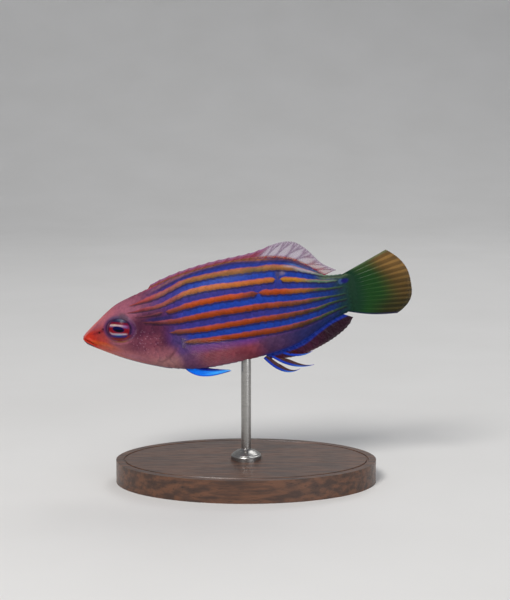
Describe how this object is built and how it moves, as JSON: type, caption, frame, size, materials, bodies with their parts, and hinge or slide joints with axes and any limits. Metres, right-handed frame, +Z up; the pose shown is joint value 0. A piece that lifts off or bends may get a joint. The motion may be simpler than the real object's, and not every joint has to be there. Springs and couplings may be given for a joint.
{
  "type": "six-line wrasse display model",
  "caption": "Life-size still model of a six-line wrasse, a small slim reef fish with folded fins, held nose a little down on a rod and an oval base.",
  "frame": {"origin": "centre of the base's flat underside, straight below the rod", "axes": "+X along the fish from snout to tail, +Z up, -Y towards the fish's left side, which the picture shows"},
  "size_m": [0.0725, 0.038, 0.0537],
  "materials": {
    "skin": "moist scaled skin, satin to glossy, with six orange stripes on blue",
    "eye": "clear polished cornea over a red iris and a blue-black pupil",
    "back_fin": "thin magenta membrane with fine rays",
    "anal_fin": "thin dark red-purple membrane edged in bright blue",
    "tail_fin": "thin green membrane with olive rays",
    "clear_fin": "clear thin membrane with fine pinkish rays",
    "belly_fin": "thin bright blue membrane",
    "rod_metal": "satin turned steel",
    "base_wood": "dark stained wood, satin oil"
  },
  "bodies": {
    "root": {"head": "skin", "gill_cover_left": "skin", "gill_cover_right": "skin", "torso": "skin", "tail_stalk": "skin", "eye_left": "eye", "eye_right": "eye", "dorsal_fin": "back_fin", "anal_fin": "anal_fin", "caudal_fin": "tail_fin", "pectoral_fin_left": "clear_fin", "pectoral_fin_right": "clear_fin", "pelvic_fin_left": "belly_fin", "pelvic_fin_right": "belly_fin", "stand_rod": "rod_metal", "stand_base": "base_wood"}
  },
  "joints": []
}
